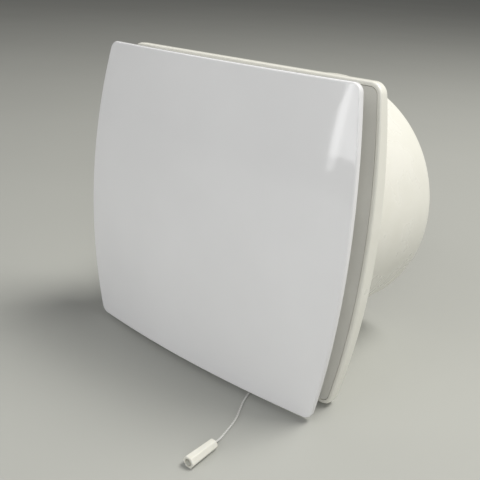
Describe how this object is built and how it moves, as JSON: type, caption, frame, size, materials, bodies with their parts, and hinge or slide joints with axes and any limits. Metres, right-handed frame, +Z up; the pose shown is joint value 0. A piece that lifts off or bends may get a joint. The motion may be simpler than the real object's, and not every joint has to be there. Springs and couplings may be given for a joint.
{
  "type": "window exhaust fan",
  "caption": "Flat-panel exhaust fan with a short round duct, a twisted-blade axial impeller, a shaded-pole motor and a pull cord with a bell, lying back on its duct.",
  "frame": {"origin": "middle of the fan's outline on the surface that it lies on, without its pull cord and bell", "axes": "+X to the right of the front panel, +Y back towards the duct's end, +Z up; the duct axis leans 5.3 degrees down towards +Y"},
  "size_m": [0.1778, 0.1878, 0.1665],
  "materials": {
    "panel_white": "polished moulded ABS",
    "casing_ivory": "satin moulded ABS",
    "frame_ivory": "fine matt moulded ABS",
    "grey_nylon": "moulded nylon",
    "black_nylon": "moulded nylon",
    "bell_plastic": "moulded polystyrene",
    "zinc_plate": "bright zinc plating",
    "ground_steel": "ground steel",
    "laminated_steel": "stacked laminations",
    "cast_zinc": "as-cast zinc alloy",
    "sintered_bronze": "oiled sintered bronze",
    "enamelled_copper": "enamelled wire",
    "black_rubber": "moulded rubber",
    "braided_cord": "braided polyester"
  },
  "bodies": {
    "housing": {"casing": "casing_ivory", "front_frame": "frame_ivory", "frame_screw_bottom_left": "zinc_plate", "frame_screw_bottom_right": "zinc_plate", "frame_screw_top_left": "zinc_plate", "frame_screw_top_right": "zinc_plate", "motor_mount": "frame_ivory", "front_bracket": "cast_zinc", "rear_bracket": "cast_zinc", "front_bearing": "sintered_bronze", "rear_bearing": "sintered_bronze", "stator_stack": "laminated_steel", "coil_core": "laminated_steel", "coil_bobbin": "grey_nylon", "coil_winding": "enamelled_copper", "motor_screw_left": "zinc_plate", "motor_nut_left": "zinc_plate", "motor_screw_right": "zinc_plate", "motor_nut_right": "zinc_plate", "terminal_block": "grey_nylon", "terminal_screw_1": "zinc_plate", "terminal_screw_2": "zinc_plate", "terminal_screw_3": "zinc_plate", "terminal_fixing_screw": "zinc_plate", "cable_grommet": "black_rubber", "switch_body": "black_nylon", "switch_fixing_screw": "zinc_plate", "lever_pin": "ground_steel", "cord_eyelet": "bell_plastic"},
    "panel": {"front_panel": "panel_white"},
    "impeller_group": {"impeller": "grey_nylon", "impeller_clip": "ground_steel", "motor_shaft": "ground_steel", "rotor": "laminated_steel"},
    "lever": {"switch_lever": "grey_nylon"},
    "cord_run": {"switch_cord": "braided_cord"},
    "pull": {"pull_cord": "braided_cord", "pull_bell": "bell_plastic"}
  },
  "joints": [
    {"name": "impeller_spin", "type": "hinge", "parent": "housing", "child": "impeller_group", "pos_m": [0, -0.00742, 0.07978], "axis": [0, 0.9957, -0.0924], "continuous": true},
    {"name": "panel_pull_off", "type": "slide", "parent": "housing", "child": "panel", "axis": [0, -0.9957, 0.0924], "range_m": [0, 0.03]},
    {"name": "cord_pull", "type": "slide", "parent": "housing", "child": "pull", "axis": [0, -1, 0], "range_m": [0, 0.0032], "stiffness_N_per_m": 150},
    {"name": "cord_run_slide", "type": "slide", "parent": "housing", "child": "cord_run", "axis": [0, -0.0924, -0.9957], "range_m": [0, 0.0033]},
    {"name": "lever_turn", "type": "hinge", "parent": "housing", "child": "lever", "pos_m": [0.0505, -0.04519, 0.01901], "axis": [0, -0.9957, 0.0924], "range_deg": [0, 22]}
  ],
  "couplings": [
    {"joint": "cord_run_slide", "follows": "cord_pull", "ratio": 1},
    {"joint": "lever_turn", "follows": "cord_pull", "rad_per_m": 117.65}
  ]
}
